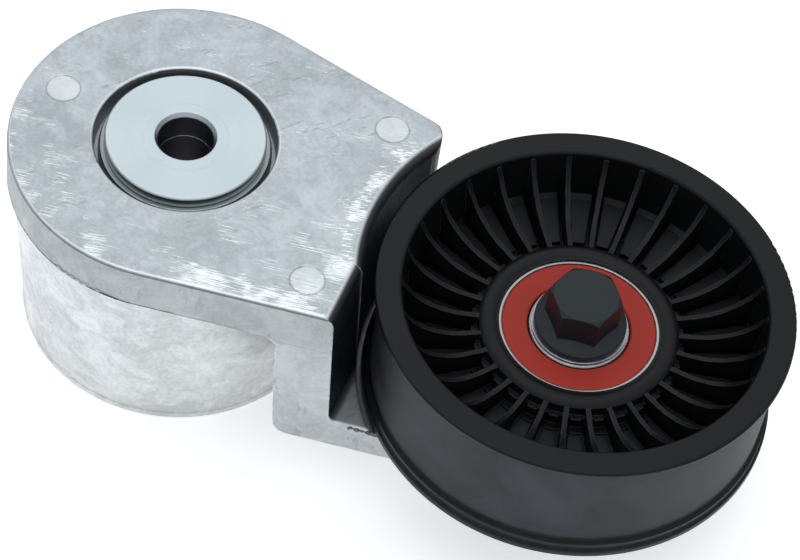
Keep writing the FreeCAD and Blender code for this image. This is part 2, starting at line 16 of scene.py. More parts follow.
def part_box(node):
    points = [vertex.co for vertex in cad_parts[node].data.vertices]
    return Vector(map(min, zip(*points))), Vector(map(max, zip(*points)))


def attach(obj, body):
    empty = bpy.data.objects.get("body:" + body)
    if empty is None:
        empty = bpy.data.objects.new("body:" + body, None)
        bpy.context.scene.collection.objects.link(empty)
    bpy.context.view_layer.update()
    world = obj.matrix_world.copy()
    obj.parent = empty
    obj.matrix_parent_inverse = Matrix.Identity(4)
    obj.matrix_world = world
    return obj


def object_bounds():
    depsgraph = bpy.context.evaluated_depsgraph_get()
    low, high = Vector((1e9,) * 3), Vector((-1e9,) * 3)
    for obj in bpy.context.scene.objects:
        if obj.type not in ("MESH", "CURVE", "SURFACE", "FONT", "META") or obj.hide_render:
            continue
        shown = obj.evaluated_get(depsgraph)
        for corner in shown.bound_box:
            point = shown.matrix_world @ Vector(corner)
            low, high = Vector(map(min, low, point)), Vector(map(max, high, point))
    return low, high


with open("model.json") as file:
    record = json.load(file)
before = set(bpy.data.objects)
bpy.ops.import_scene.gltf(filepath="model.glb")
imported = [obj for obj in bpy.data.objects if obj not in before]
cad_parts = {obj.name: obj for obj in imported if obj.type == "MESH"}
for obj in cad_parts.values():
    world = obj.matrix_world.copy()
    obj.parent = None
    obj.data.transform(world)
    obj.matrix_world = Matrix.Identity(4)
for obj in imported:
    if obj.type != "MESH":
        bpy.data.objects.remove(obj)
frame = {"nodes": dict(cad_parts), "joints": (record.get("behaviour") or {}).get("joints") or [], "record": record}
cad_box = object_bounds()
nodes = frame["nodes"]
record = frame["record"]
print("loaded", len(nodes), "nodes; box", [[round(c, 4) for c in corner] for corner in cad_box])

# %% [markdown]
# ## Places that the frame gives
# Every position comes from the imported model. The arm turns about the Z axis of the origin.
# The pulley's axis is its joint's position, and the heights of faces are the tops and
# bottoms of the nodes.

# %% Read places from the frame
joints = {joint["name"]: joint for joint in frame["joints"]}
PULLEY_AXIS = Vector(joints["pulley_spin"]["pos_m"])
BEARING = tuple(PULLEY_AXIS)
PIVOT = (0.0, 0.0, 0.0)
arm_low, arm_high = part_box("arm")
HEAD_R = -arm_low.x
ARM_FRONT = arm_high.z
CASE_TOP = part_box("spring_case")[1].z
MM = 0.001
print("pulley axis", tuple(round(c, 4) for c in BEARING), "arm front", round(ARM_FRONT, 4))

# %% [markdown]
# ## Small tools for shader nodes
# A material is a graph of nodes. A few helpers keep the graphs readable: one adds any node
# and wires its inputs, some do arithmetic on numbers or vectors, and one remaps a range of
# values. An input may be a plain value or the output of another node.

# %% Node helpers
def wire(tree, socket, value):
    if isinstance(value, bpy.types.NodeSocket):
        tree.links.new(value, socket)
    elif value is not None:
        socket.default_value = value


def put(tree, kind, settings=None, **inputs):
    node = tree.nodes.new("ShaderNode" + kind)
    for name, value in (settings or {}).items():
        setattr(node, name, value)
    for name, value in inputs.items():
        wire(tree, node.inputs[name.replace("_", " ")], value)
    return node


def maths(tree, operation, a, b=None, c=None):
    node = tree.nodes.new("ShaderNodeMath")
    node.operation = operation
    for socket, value in zip(node.inputs, (a, b, c)):
        wire(tree, socket, value)
    return node.outputs[0]


def times(tree, a, b):
    return maths(tree, "MULTIPLY", a, b)


def larger(tree, a, b):
    return maths(tree, "MAXIMUM", a, b)


def vector_maths(tree, operation, a, b=None):
    node = tree.nodes.new("ShaderNodeVectorMath")
    node.operation = operation
    wire(tree, node.inputs[0], a)
    wire(tree, node.inputs[1], b)
    return node.outputs["Value" if operation in ("LENGTH", "DOT_PRODUCT") else "Vector"]


def remap(tree, value, low, high, to_low=0.0, to_high=1.0, smooth=False):
    node = tree.nodes.new("ShaderNodeMapRange")
    node.interpolation_type = "SMOOTHSTEP" if smooth else "LINEAR"
    for socket, number in zip(node.inputs, (value, low, high, to_low, to_high)):
        wire(tree, socket, number)
    return node.outputs["Result"]


def blend_colours(tree, factor, a, b, how="MIX"):
    node = tree.nodes.new("ShaderNodeMix")
    node.data_type = "RGBA"
    node.blend_type = how
    wire(tree, node.inputs[0], factor)
    wire(tree, node.inputs[6], a)
    wire(tree, node.inputs[7], b)
    return node.outputs[2]


def rgb(r, g, b):
    return (r, g, b, 1.0)


print("node helpers ready")

# %% [markdown]
# ## Shader groups
# An effect that several finishes share is a group: it is built once, and each material uses
# it with its own numbers. A group here gives only colours, masks and heights, and the
# Principled BSDF stays in the material. All patterns use object coordinates, in metres, so
# they keep their real size and ride along when a part moves.

# %% Group maker
WITHOUT_HEIGHT = (1, 1, 0)


def new_group(name, inputs, outputs):
    tree = bpy.data.node_groups.new(name, "ShaderNodeTree")
    kinds = {"value": "NodeSocketFloat", "colour": "NodeSocketColor", "vector": "NodeSocketVector"}
    for label, kind, default in inputs:
        socket = tree.interface.new_socket(name=label, in_out="INPUT", socket_type=kinds[kind])
        socket.default_value = default
    for label, kind in outputs:
        tree.interface.new_socket(name=label, in_out="OUTPUT", socket_type=kinds[kind])
    given = tree.nodes.new("NodeGroupInput").outputs
    result = tree.nodes.new("NodeGroupOutput").inputs
    return tree, given, result


def place(tree, group, **inputs):
    node = tree.nodes.new("ShaderNodeGroup")
    node.node_tree = group
    for name, value in inputs.items():
        wire(tree, node.inputs[name.replace("_", " ")], value)
    return node.outputs


def radius_from(tree, position, centre):
    """Distance of a point from a vertical axis, as a node output."""
    offset = vector_maths(tree, "SUBTRACT", position, centre)
    return vector_maths(tree, "LENGTH", vector_maths(tree, "MULTIPLY", offset, WITHOUT_HEIGHT))


print("group maker ready")

# %% [markdown]
# ### Cast skin
# Die-cast aluminium is never one grey. Molten metal runs over the cold die and leaves clouds
# and flow lines, tumbling adds a fine speckle, and gas leaves a few pores. We add noises of
# three sizes, and take the pores from a cell pattern that only shows in patches.

# %% Cast skin group
def make_cast_skin():
    tree, given, result = new_group(
        "cast skin",
        [("Light", "colour", rgb(0.7, 0.7, 0.7)), ("Dark", "colour", rgb(0.5, 0.5, 0.5)),
         ("Shift", "value", 0.0), ("Pores", "value", 1.0), ("Flow", "value", 0.1)],
        [("Color", "colour"), ("Roughness", "value"), ("Height", "value")])
    position = put(tree, "TexCoord").outputs["Object"]
    spot = vector_maths(tree, "ADD", position, given["Shift"])
    clouds = put(tree, "TexNoise", Vector=spot, Scale=48.0, Detail=6.0, Roughness=0.64,
                 Distortion=0.7).outputs["Fac"]
    flow = put(tree, "TexNoise", Vector=spot, Scale=120.0, Detail=6.0, Roughness=0.66,
               Distortion=1.6).outputs["Fac"]
    speck = put(tree, "TexNoise", Vector=spot, Scale=900.0, Detail=4.0, Roughness=0.7).outputs["Fac"]
    lines = maths(tree, "ABSOLUTE", maths(tree, "SUBTRACT", flow, 0.5))
    lines = remap(tree, lines, 0.0, 0.035, 1.0, 0.0, smooth=True)
    tone = maths(tree, "ADD", times(tree, clouds, 0.42), times(tree, flow, 0.36))
    tone = maths(tree, "ADD", tone, times(tree, speck, 0.29))
    tone = remap(tree, tone, 0.40, 0.68, smooth=True)
    tone = maths(tree, "SUBTRACT", tone, times(tree, lines, given["Flow"]))
    cells = put(tree, "TexVoronoi", Vector=spot, Scale=700.0)
    patch = remap(tree, clouds, 0.60, 0.68, smooth=True)
    pore = remap(tree, cells.outputs["Distance"], 0.06, 0.14, 1.0, 0.0, smooth=True)
    pore = times(tree, times(tree, pore, patch), given["Pores"])
    colour = blend_colours(tree, tone, given["Dark"], given["Light"])
    colour = blend_colours(tree, times(tree, pore, 0.7), colour, rgb(0.16, 0.16, 0.16))
    wire(tree, result["Color"], colour)
    wire(tree, result["Roughness"], remap(tree, tone, 0.0, 1.0, 0.52, 0.36))
    height = maths(tree, "ADD", times(tree, flow, 0.35), times(tree, speck, 0.35))
    wire(tree, result["Height"], maths(tree, "SUBTRACT", height, pore))
    return tree


CAST_SKIN = make_cast_skin()
print("cast skin group:", len(CAST_SKIN.nodes), "nodes")

# %% [markdown]
# ### Worn edges
# Handling rubs a casting's edges bright. The Bevel node gives the normal that the surface
# would have with a small round on its edges. Where that differs from the true normal there
# is an edge, so the difference is a mask, and some noise breaks it up. The same normal also
# softens the highlight on sharp moulded edges.

# %% Worn edge group
def make_worn_edge():
    tree, given, result = new_group(
        "worn edge",
        [("Width", "value", 0.0005), ("Break up", "value", 350.0)],
        [("Mask", "value"), ("Normal", "vector")])
    soft = put(tree, "Bevel", {"samples": 6}, Radius=given["Width"])
    true = put(tree, "NewGeometry").outputs["Normal"]
    match = vector_maths(tree, "DOT_PRODUCT", soft.outputs["Normal"], true)
    edge = remap(tree, match, 0.80, 0.995, 1.0, 0.0)
    position = put(tree, "TexCoord").outputs["Object"]
    chips = put(tree, "TexNoise", Vector=position, Scale=given["Break up"], Detail=4.0)
    chips = remap(tree, chips.outputs["Fac"], 0.35, 0.62, smooth=True)
    wire(tree, result["Mask"], times(tree, edge, chips))
    wire(tree, result["Normal"], soft.outputs["Normal"])
    return tree


WORN_EDGE = make_worn_edge()
print("worn edge group:", len(WORN_EDGE.nodes), "nodes")

# %% [markdown]
# ### Hair scratches
# A casting is scratched when a tool or a neighbour in the box slides over it. Each scratch is
# long, thin and straight, and they all run nearly the same way. So the coordinates are
# turned to that way and squeezed across it, which stretches a plain noise into hairs, and a
# second noise makes them come in clusters.

# %% Hair scratch group
def clouds_of(tree, texture):
    return remap(tree, texture.outputs["Fac"], 0.35, 0.65, smooth=True)


def make_scratches():
    tree, given, result = new_group(
        "hair scratches",
        [("Direction", "value", 0.0), ("Length", "value", 160.0), ("Width", "value", 3800.0),
         ("Amount", "value", 0.5)],
        [("Mask", "value")])
    position = put(tree, "TexCoord").outputs["Object"]
    turned = put(tree, "VectorRotate", {"rotation_type": "Z_AXIS"}, Vector=position,
                 Angle=times(tree, given["Direction"], -1.0))
    squeeze = put(tree, "CombineXYZ", X=given["Length"], Y=given["Width"], Z=200.0)
    spread = vector_maths(tree, "MULTIPLY", turned.outputs["Vector"], squeeze.outputs["Vector"])
    hairs = put(tree, "TexNoise", Vector=spread, Scale=1.0, Detail=2.0, Roughness=0.5)
    clusters = put(tree, "TexNoise", Vector=position, Scale=130.0, Detail=2.0)
    level = times(tree, hairs.outputs["Fac"],
                  remap(tree, clouds_of(tree, clusters), 0.0, 1.0, 0.75, 1.12))
    start = remap(tree, given["Amount"], 0.0, 1.0, 0.74, 0.48)
    over = maths(tree, "SUBTRACT", level, start)
    wire(tree, result["Mask"], remap(tree, over, 0.0, 0.03, smooth=True))
    return tree


SCRATCHES = make_scratches()
print("scratch group:", len(SCRATCHES.nodes), "nodes")

# %% [markdown]
# ### Turned rings
# A lathe leaves fine circular grooves. A noise that reads only the distance from the axis is
# the same all the way round, which is just what a turning tool does. A little ordinary noise
# makes some grooves fade.

# %% Turned ring group
def make_turned_rings():
    tree, given, result = new_group(
        "turned rings",
        [("Centre", "vector", (0, 0, 0)), ("Pitch", "value", 3000.0)],
        [("Height", "value"), ("Fade", "value")])
    position = put(tree, "TexCoord").outputs["Object"]
    radius = radius_from(tree, position, given["Centre"])
    fine = put(tree, "TexNoise", {"noise_dimensions": "1D"},
               W=times(tree, radius, given["Pitch"]), Scale=1.0, Detail=3.0, Roughness=0.7)
    broad = put(tree, "TexNoise", {"noise_dimensions": "1D"},
                W=times(tree, radius, 420.0), Scale=1.0, Detail=2.0)
    haze = put(tree, "TexNoise", Vector=position, Scale=110.0, Detail=4.0)
    wire(tree, result["Height"], fine.outputs["Fac"])
    wire(tree, result["Fade"], maths(tree, "ADD", times(tree, broad.outputs["Fac"], 0.6),
                                     times(tree, haze.outputs["Fac"], 0.4)))
    return tree


TURNED_RINGS = make_turned_rings()
print("turned ring group:", len(TURNED_RINGS.nodes), "nodes")

# %% [markdown]
# ### Fine dust and grain
# Moulded plastic and rubber have a fine grain, and grey dust and scuffs collect on them. One
# group serves both: it gives a grain height and a patchy mask of pale specks.

# %% Grain and dust group
def make_grain():
    tree, given, result = new_group(
        "grain and dust",
        [("Grain size", "value", 2500.0), ("Dust", "value", 0.5)],
        [("Height", "value"), ("Dust", "value"), ("Clouds", "value")])
    position = put(tree, "TexCoord").outputs["Object"]
    grain = put(tree, "TexNoise", Vector=position, Scale=given["Grain size"], Detail=3.0)
    clouds = put(tree, "TexNoise", Vector=position, Scale=70.0, Detail=5.0, Roughness=0.65,
                 Distortion=0.6)
    specks = put(tree, "TexVoronoi", Vector=position, Scale=900.0, Randomness=1.0)
    speck = remap(tree, specks.outputs["Distance"], 0.05, 0.11, 1.0, 0.0, smooth=True)
    patch = remap(tree, clouds.outputs["Fac"], 0.50, 0.72, smooth=True)
    wire(tree, result["Height"], grain.outputs["Fac"])
    wire(tree, result["Dust"], times(tree, times(tree, speck, patch), given["Dust"]))
    wire(tree, result["Clouds"], clouds.outputs["Fac"])
    return tree


GRAIN = make_grain()
print("grain group:", len(GRAIN.nodes), "nodes")

# %% [markdown]
# ## Materials
# Each finish is a short function that makes one Principled BSDF, and adds only what that
# surface shows. Numbers that are the same everywhere go straight on the shader's sockets.

# %% Material maker
def new_material(name, **constants):
    material = bpy.data.materials.new(name)
    material.use_nodes = True
    tree = material.node_tree
    shader = tree.nodes["Principled BSDF"]
    for label, value in constants.items():
        shader.inputs[label.replace("_", " ")].default_value = value
    return material, tree, shader


def bump(tree, shader, height, distance, strength, normal=None):
    node = put(tree, "Bump", Height=height, Distance=distance, Strength=strength)
    if normal is not None:
        wire(tree, node.inputs["Normal"], normal)
    wire(tree, shader.inputs["Normal"], node.outputs["Normal"])


print("material maker ready")

# %% [markdown]
# ### The arm's aluminium
# The arm is cool grey cast metal. Its front face is scratched almost white in three places:
# beside the pulley where the rolled edge was dressed, along the lower rim of the head, and
# near the corner of the leg. Masks made from the distance to the two axes keep the scratches
# there, and a table gives each place its own direction, length, width and amount.

# %% Where the arm is scratched
DRESSED_R = 54.6 * MM       # just outside the edge of the pocket around the pulley
PLATE_TOP = 22.6 * MM       # front face of the lower plate
TOOL_WAY = math.radians(15)


def near_radius(tree, radius, peak, reach):
    """1 at a distance from an axis, falling to 0 at reach on both sides of it."""
    off = maths(tree, "ABSOLUTE", maths(tree, "SUBTRACT", radius, peak))
    return remap(tree, off, 0.1 * reach, reach, 1.0, 0.0)


def slope_of(tree):
    """Z of the normal in the piece's own space: 1 on a face that looks up, 0 on a wall."""
    return put(tree, "SeparateXYZ", Vector=put(tree, "TexCoord").outputs["Normal"]).outputs["Z"]


def scratch(tree, turn, length, width, amount):
    return place(tree, SCRATCHES, Direction=TOOL_WAY + turn, Length=length, Width=width,
                 Amount=amount)["Mask"]


def arm_scratches(tree, position, axes):
    to_pulley = radius_from(tree, position, BEARING)
    to_pivot = radius_from(tree, position, PIVOT)
    facing_up = times(tree, remap(tree, slope_of(tree), 0.70, 0.90),
                      remap(tree, axes["Z"], ARM_FRONT - 2.4 * MM, ARM_FRONT - 0.8 * MM))
    off_middle = maths(tree, "ABSOLUTE", axes["Y"])
    middle = remap(tree, off_middle, 16 * MM, 25 * MM, 1.0, 0.0, smooth=True)
    dressed = times(tree, near_radius(tree, to_pulley, DRESSED_R, 5.0 * MM), middle)
    front_side = remap(tree, axes["Y"], 0.0, -18 * MM, smooth=True)
    rim = times(tree, remap(tree, to_pivot, HEAD_R - 13 * MM, HEAD_R - 2 * MM), front_side)
    leg_rim = times(tree, remap(tree, axes["X"], 2 * MM, 22 * MM, smooth=True),
                    remap(tree, axes["Y"], -27.5 * MM, -33.5 * MM))
    marks = None
    for zone, turn, length, width, amount in (
            (dressed, 0.0, 380.0, 3400.0, 1.5), (leg_rim, -0.10, 220.0, 4200.0, 1.1),
            (rim, -0.12, 100.0, 5000.0, 0.62), (rim, 0.02, 90.0, 4600.0, 0.44)):
        hairs = scratch(tree, turn, length, width, times(tree, zone, amount))
        marks = hairs if marks is None else larger(tree, marks, hairs)
    return times(tree, marks, facing_up)


print("scratches run at", round(math.degrees(TOOL_WAY)), "degrees")

# %% [markdown]
# ### Edges and pin marks
# The rounded front edges get a painted highlight, a bright line, with a line of painted shade
# just below it. We find them by their slope: the Z part of the normal says how far a round has
# turned. The ejector pins leave round marks with a brighter skin, the recess has a bright ring
# at its edge, and the upright side faces get painted shade, darker than the front.

# %% Masks for edges and marks
PIN_MARKS = ((-31.8 * MM, 1.5 * MM, 0), (42.4 * MM, 23.6 * MM, 0), (41.1 * MM, -25.9 * MM, 0))
PIN_R = 4 * MM
RECESS_EDGE_R = 21.7 * MM


# painted highlight on the rounded front edges, with a line of painted shade below it, picked by slope
def edge_highlight_and_shade_lines(tree, axes):
    slope = slope_of(tree)
    near_front = remap(tree, axes["Z"], ARM_FRONT - 1.3 * MM, ARM_FRONT - 1.0 * MM)
    edge_highlight = times(tree, remap(tree, slope, 0.70, 0.82), remap(tree, slope, 0.985, 0.96))
    edge_shade = times(tree, remap(tree, slope, 0.08, 0.2), remap(tree, slope, 0.62, 0.45))
    return times(tree, edge_highlight, near_front), times(tree, edge_shade, near_front)


def pin_marks(tree, position, axes):
    marks = None
    for centre in PIN_MARKS:
        to_pin = radius_from(tree, position, centre)
        mark = remap(tree, to_pin, PIN_R - 0.25 * MM, PIN_R - 0.05 * MM, 1.0, 0.0)
        marks = mark if marks is None else larger(tree, marks, mark)
    near_front = remap(tree, axes["Z"], ARM_FRONT - 0.6 * MM, ARM_FRONT - 0.4 * MM)
    return times(tree, marks, near_front)


def recess_edge(tree, position, axes):
    ring = near_radius(tree, radius_from(tree, position, PIVOT), RECESS_EDGE_R, 0.45 * MM)
    near_front = remap(tree, axes["Z"], ARM_FRONT - 1.3 * MM, ARM_FRONT - 0.7 * MM)
    return times(tree, ring, near_front)


# painted shade: the upright side faces are darkened
def shaded_side_faces(tree):
    return remap(tree, maths(tree, "ABSOLUTE", slope_of(tree)), 0.25, 0.60, 1.0, 0.0)


print("pin marks:", len(PIN_MARKS))

# %% [markdown]
# ### Painted pulley shade, painted gap shade and the parting line
# Three marks. The wall that faces the pulley is painted nearly black, a painted reflection and
# shade of the black pulley: the mask compares the normal with the way to the pulley's axis. A
# ragged line of painted shade lies in the gap where the skirt meets the case, strongest near
# the middle of the head. The leg shows a fine raised line where the two halves of the die met.
# All three are masks in the piece's own space, so they stay in place when the arm swings.

# %% Masks for painted pulley shade, painted gap shade and the parting line
PARTING_LINE = CASE_TOP - 0.4 * MM


# painted reflection and shade of the black pulley, on the arm's wall that faces it
def pulley_shaded_wall(tree, position, axes):
    to_axis = vector_maths(tree, "SUBTRACT", (PULLEY_AXIS.x, PULLEY_AXIS.y, 0.0), position)
    way = vector_maths(tree, "NORMALIZE", vector_maths(tree, "MULTIPLY", to_axis, WITHOUT_HEIGHT))
    facing = vector_maths(tree, "DOT_PRODUCT", way, put(tree, "TexCoord").outputs["Normal"])
    wall = remap(tree, facing, 0.05, 0.42)
    beyond_head = remap(tree, axes["X"], 38 * MM, 42 * MM)
    above_plate = remap(tree, axes["Z"], PLATE_TOP + 0.2 * MM, PLATE_TOP + 1.5 * MM)
    below_front = remap(tree, axes["Z"], ARM_FRONT - 0.50 * MM, ARM_FRONT - 0.03 * MM, 1.0, 0.0)
    wall = times(tree, times(tree, wall, beyond_head), above_plate)
    return times(tree, wall, below_front)


# painted shade in the gap where the skirt meets the case
def skirt_gap_shade(tree, position, axes):
    ragged = put(tree, "TexNoise", Vector=position, Scale=160.0, Detail=3.0).outputs["Fac"]
    line_top = remap(tree, ragged, 0.35, 0.70, CASE_TOP + 0.55 * MM, CASE_TOP + 1.05 * MM)
    above = maths(tree, "SUBTRACT", axes["Z"], line_top)
    painted_shade = remap(tree, above, -0.20 * MM, 0.05 * MM, 1.0, 0.0)
    painted_shade = times(tree, painted_shade, remap(tree, axes["X"], 30 * MM, 34 * MM, 1.0, 0.0))
    off_middle = maths(tree, "ABSOLUTE", maths(tree, "ADD", axes["X"], 1 * MM))
    return times(tree, painted_shade, remap(tree, off_middle, 12 * MM, 20 * MM, 1.0, 0.35))


def parting_line(tree, axes):
    off_line = maths(tree, "ABSOLUTE", maths(tree, "SUBTRACT", axes["Z"], PARTING_LINE))
    line = remap(tree, off_line, 0.08 * MM, 0.25 * MM, 1.0, 0.0)
    return times(tree, line, remap(tree, axes["X"], 36 * MM, 40 * MM))


print("parting line at", round(PARTING_LINE / MM, 1), "mm")

# %% [markdown]
# ### The arm's finish
# The finish starts from the cast skin and lays the masks over it one by one: scuffs and pin
# marks first, then painted shade on the side faces, then rubbed edges, scratches and the
# painted highlight on the front edges, and last the painted shade in the skirt's gap and below
# the front edges, and the painted reflection and shade of the pulley on its wall. Rubbed metal
# is also a little smoother, so the same mask, painted highlight included, lowers the roughness.

# %% Arm aluminium
# scratches and rubbed edges, and the painted highlight on the rounded front edges
WEAR_AND_HIGHLIGHT = rgb(0.94, 0.955, 0.96)
SCUFF = rgb(0.26, 0.27, 0.28)
PIN_SKIN = rgb(0.80, 0.81, 0.82)
# grey of the painted shade on the side faces, and the torn lip's lighter tone
DEEP_GREY = rgb(0.20, 0.20, 0.20)
# near black: the painted shade in the skirt's gap and below the front edges, and the torn lip's darker tone
NEAR_BLACK = rgb(0.05, 0.05, 0.05)
# painted reflection and shade of the black pulley
PULLEY_SHADE = rgb(0.042, 0.044, 0.047)


def arm_colour(tree, position, axes, skin, worn_mask):
    """The arm's base colour, and the mask of its rubbed places and painted highlights."""
    wall = pulley_shaded_wall(tree, position, axes)
    edge_highlight, edge_shade = edge_highlight_and_shade_lines(tree, axes)
    scuffs = times(tree, scratch(tree, 0.6, 150.0, 900.0, 0.34), 0.35)
    colour = blend_colours(tree, scuffs, skin, SCUFF)
    marks = pin_marks(tree, position, axes)
    colour = blend_colours(tree, times(tree, marks, 0.55), colour, PIN_SKIN)
    # scratches, worn edges and the recess ring, with the painted highlight of the front edges
    wear_and_highlight_mask = larger(tree, arm_scratches(tree, position, axes), times(tree, edge_highlight, 0.8))
    wear_and_highlight_mask = larger(tree, wear_and_highlight_mask, times(tree, worn_mask, remap(tree, wall, 0.0, 0.5, 0.9, 0.0)))
    wear_and_highlight_mask = larger(tree, wear_and_highlight_mask, times(tree, recess_edge(tree, position, axes), 0.8))
    # painted shade on the side faces, stronger higher up the band
    dull = remap(tree, axes["Z"], 44 * MM, 50 * MM, 0.14, 0.36)
    colour = blend_colours(tree, times(tree, shaded_side_faces(tree), dull), colour, DEEP_GREY)
    colour = blend_colours(tree, times(tree, wear_and_highlight_mask, 0.9), colour, WEAR_AND_HIGHLIGHT)
    # painted shade: the skirt's gap, and the line below the rounded front edges
    painted_shade = larger(tree, times(tree, skirt_gap_shade(tree, position, axes), 0.9), times(tree, edge_shade, 0.6))
    colour = blend_colours(tree, painted_shade, colour, NEAR_BLACK)
    # painted reflection and shade of the pulley on the wall that faces it
    return blend_colours(tree, times(tree, wall, 0.94), colour, PULLEY_SHADE), wear_and_highlight_mask


def arm_aluminium():
    material, tree, shader = new_material("arm aluminium", Metallic=1.0)
    position = put(tree, "TexCoord").outputs["Object"]
    axes = put(tree, "SeparateXYZ", Vector=position).outputs
    skin = place(tree, CAST_SKIN, Light=rgb(0.575, 0.602, 0.620), Dark=rgb(0.445, 0.468, 0.484),
                 Shift=3.7, Pores=0.6, Flow=0.10)
    edge = place(tree, WORN_EDGE, Width=0.9 * MM)
    colour, wear_and_highlight_mask = arm_colour(tree, position, axes, skin["Color"], edge["Mask"])
    wire(tree, shader.inputs["Base Color"], colour)
    rough = maths(tree, "SUBTRACT", skin["Roughness"], times(tree, wear_and_highlight_mask, 0.10))
    wire(tree, shader.inputs["Roughness"], rough)
    height = maths(tree, "ADD", skin["Height"], times(tree, parting_line(tree, axes), 1.2))
    bump(tree, shader, height, 0.12 * MM, 0.55, normal=edge["Normal"])
    return material


MATERIALS = {"arm_aluminium": arm_aluminium()}
print("arm finish:", len(MATERIALS["arm_aluminium"].node_tree.nodes), "nodes")

# %% [markdown]
# ### The spring case's finish
# The case is the same metal but paler, like a blasted casting. It needs only the cast skin,
# softly rubbed edges and a band of painted shade at its top, where it meets the arm's skirt.

# %% Case aluminium
def case_aluminium():
    material, tree, shader = new_material("case aluminium", Metallic=1.0)
    position = put(tree, "TexCoord").outputs["Object"]
    skin = place(tree, CAST_SKIN, Light=rgb(0.76, 0.77, 0.775), Dark=rgb(0.54, 0.55, 0.555),
                 Shift=9.1, Pores=0.9, Flow=0.05)
    edge = place(tree, WORN_EDGE, Width=0.6 * MM)
    colour = blend_colours(tree, times(tree, edge["Mask"], 0.5), skin["Color"],
                           rgb(0.90, 0.90, 0.89))
    height = put(tree, "SeparateXYZ", Vector=position).outputs["Z"]
    # painted shade at the top of the case, where it goes under the arm's skirt
    painted_shade = remap(tree, height, CASE_TOP - 0.9 * MM, CASE_TOP - 0.2 * MM, 0.0, 0.8, smooth=True)
    colour = blend_colours(tree, painted_shade, colour, rgb(0.08, 0.08, 0.08))
    wire(tree, shader.inputs["Base Color"], colour)
    wire(tree, shader.inputs["Roughness"], skin["Roughness"])
    bump(tree, shader, skin["Height"], 0.14 * MM, 0.6, normal=edge["Normal"])
    return material


MATERIALS["case_aluminium"] = case_aluminium()
print("cast finishes:", sorted(MATERIALS))

# %% [markdown]
# ### Steels
# The cap disc is turned and zinc plated: pale, slightly blue-green, with a sheen that
# streams out from the centre because the grooves are circular. The bearing rings are ground
# bright, the tube is dull, and the bolt is black oxide, which wears to grey on its corners.

# %% Steel finishes
# painted highlight along the edges of the turned steels
EDGE_HIGHLIGHT = rgb(0.94, 0.96, 0.96)


def turned_steel(name, centre, light, dark, low_rough, high_rough, anisotropic=0.0, depth=0.02):
    material, tree, shader = new_material(name, Metallic=1.0, Anisotropic=anisotropic)
    rings = place(tree, TURNED_RINGS, Centre=centre)
    edge = place(tree, WORN_EDGE, Width=0.40 * MM)
    colour = blend_colours(tree, rings["Fade"], dark, light)
    # painted highlight: the edges are lightened towards near white
    colour = blend_colours(tree, times(tree, edge["Mask"], 0.9), colour, EDGE_HIGHLIGHT)
    wire(tree, shader.inputs["Base Color"], colour)
    wire(tree, shader.inputs["Roughness"], remap(tree, rings["Fade"], 0.3, 0.7, low_rough, high_rough))
    if anisotropic:
        round_axis = put(tree, "Tangent", {"direction_type": "RADIAL", "axis": "Z"})
        wire(tree, shader.inputs["Tangent"], round_axis.outputs[0])
    bump(tree, shader, rings["Height"], depth * MM, 0.5, normal=edge["Normal"])
    return material


def black_steel():
    material, tree, shader = new_material("black oxide steel", Metallic=0.0, IOR=1.33)
    grain = place(tree, GRAIN, Grain_size=3200.0)
    edge = place(tree, WORN_EDGE, Width=0.35 * MM, Break_up=900.0)
    base = blend_colours(tree, grain["Clouds"], rgb(0.013, 0.0165, 0.018), rgb(0.023, 0.028, 0.031))
    worn = blend_colours(tree, times(tree, edge["Mask"], 0.4), base, rgb(0.10, 0.10, 0.10))
    wire(tree, shader.inputs["Base Color"], worn)
    wire(tree, shader.inputs["Roughness"], remap(tree, grain["Clouds"], 0.3, 0.7, 0.30, 0.42))
    bump(tree, shader, grain["Height"], 0.03 * MM, 0.4, normal=edge["Normal"])
    return material


def spring_steel():
    material, tree, shader = new_material("peened spring steel", Metallic=0.4)
    grain = place(tree, GRAIN, Grain_size=1600.0)
    base = blend_colours(tree, grain["Clouds"], rgb(0.03, 0.03, 0.035), rgb(0.07, 0.07, 0.075))
    wire(tree, shader.inputs["Base Color"], base)
    wire(tree, shader.inputs["Roughness"], remap(tree, grain["Clouds"], 0.3, 0.7, 0.4, 0.6))
    bump(tree, shader, grain["Height"], 0.06 * MM, 0.5)
    return material


MATERIALS["plated_steel"] = turned_steel(
    "plated disc", PIVOT, rgb(0.66, 0.715, 0.735), rgb(0.49, 0.55, 0.57), 0.24, 0.34, anisotropic=0.85)
MATERIALS["tube_steel"] = turned_steel(
    "dull tube", PIVOT, rgb(0.46, 0.44, 0.49), rgb(0.30, 0.29, 0.32), 0.30, 0.42)
MATERIALS["bearing_steel"] = turned_steel(
    "ground bearing steel", BEARING, rgb(0.46, 0.48, 0.48), rgb(0.30, 0.32, 0.32), 0.20, 0.32,
    depth=0.01)
MATERIALS["cage_steel"] = turned_steel(
    "pressed cage", BEARING, rgb(0.60, 0.59, 0.56), rgb(0.42, 0.41, 0.39), 0.3, 0.45)
MATERIALS["shield_steel"] = turned_steel(
    "pressed shield", BEARING, rgb(0.40, 0.43, 0.42), rgb(0.24, 0.26, 0.255), 0.28, 0.42, depth=0.015)
MATERIALS["black_steel"] = black_steel()
MATERIALS["spring_steel"] = spring_steel()
print("steels:", len(MATERIALS) - 2)

# %% [markdown]
# ### The pulley's nylon
# The pulley is black nylon with glass fibre in it. The belt polishes its outer face to a
# greyer, cloudy surface, and that grey is also a painted sheen, so a mask made from the
# distance to the pulley's axis picks that face out. The edges of its ribs and rims get a
# painted highlight, a little paler.

# %% Pulley nylon
BELT_FACE_R = 46.9 * MM
PALE_DUST = rgb(0.14, 0.14, 0.14)
# painted highlight on the edges of the ribs and rims
NYLON_EDGE_HIGHLIGHT = rgb(0.15, 0.15, 0.16)
pulley_low, pulley_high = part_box("pulley")


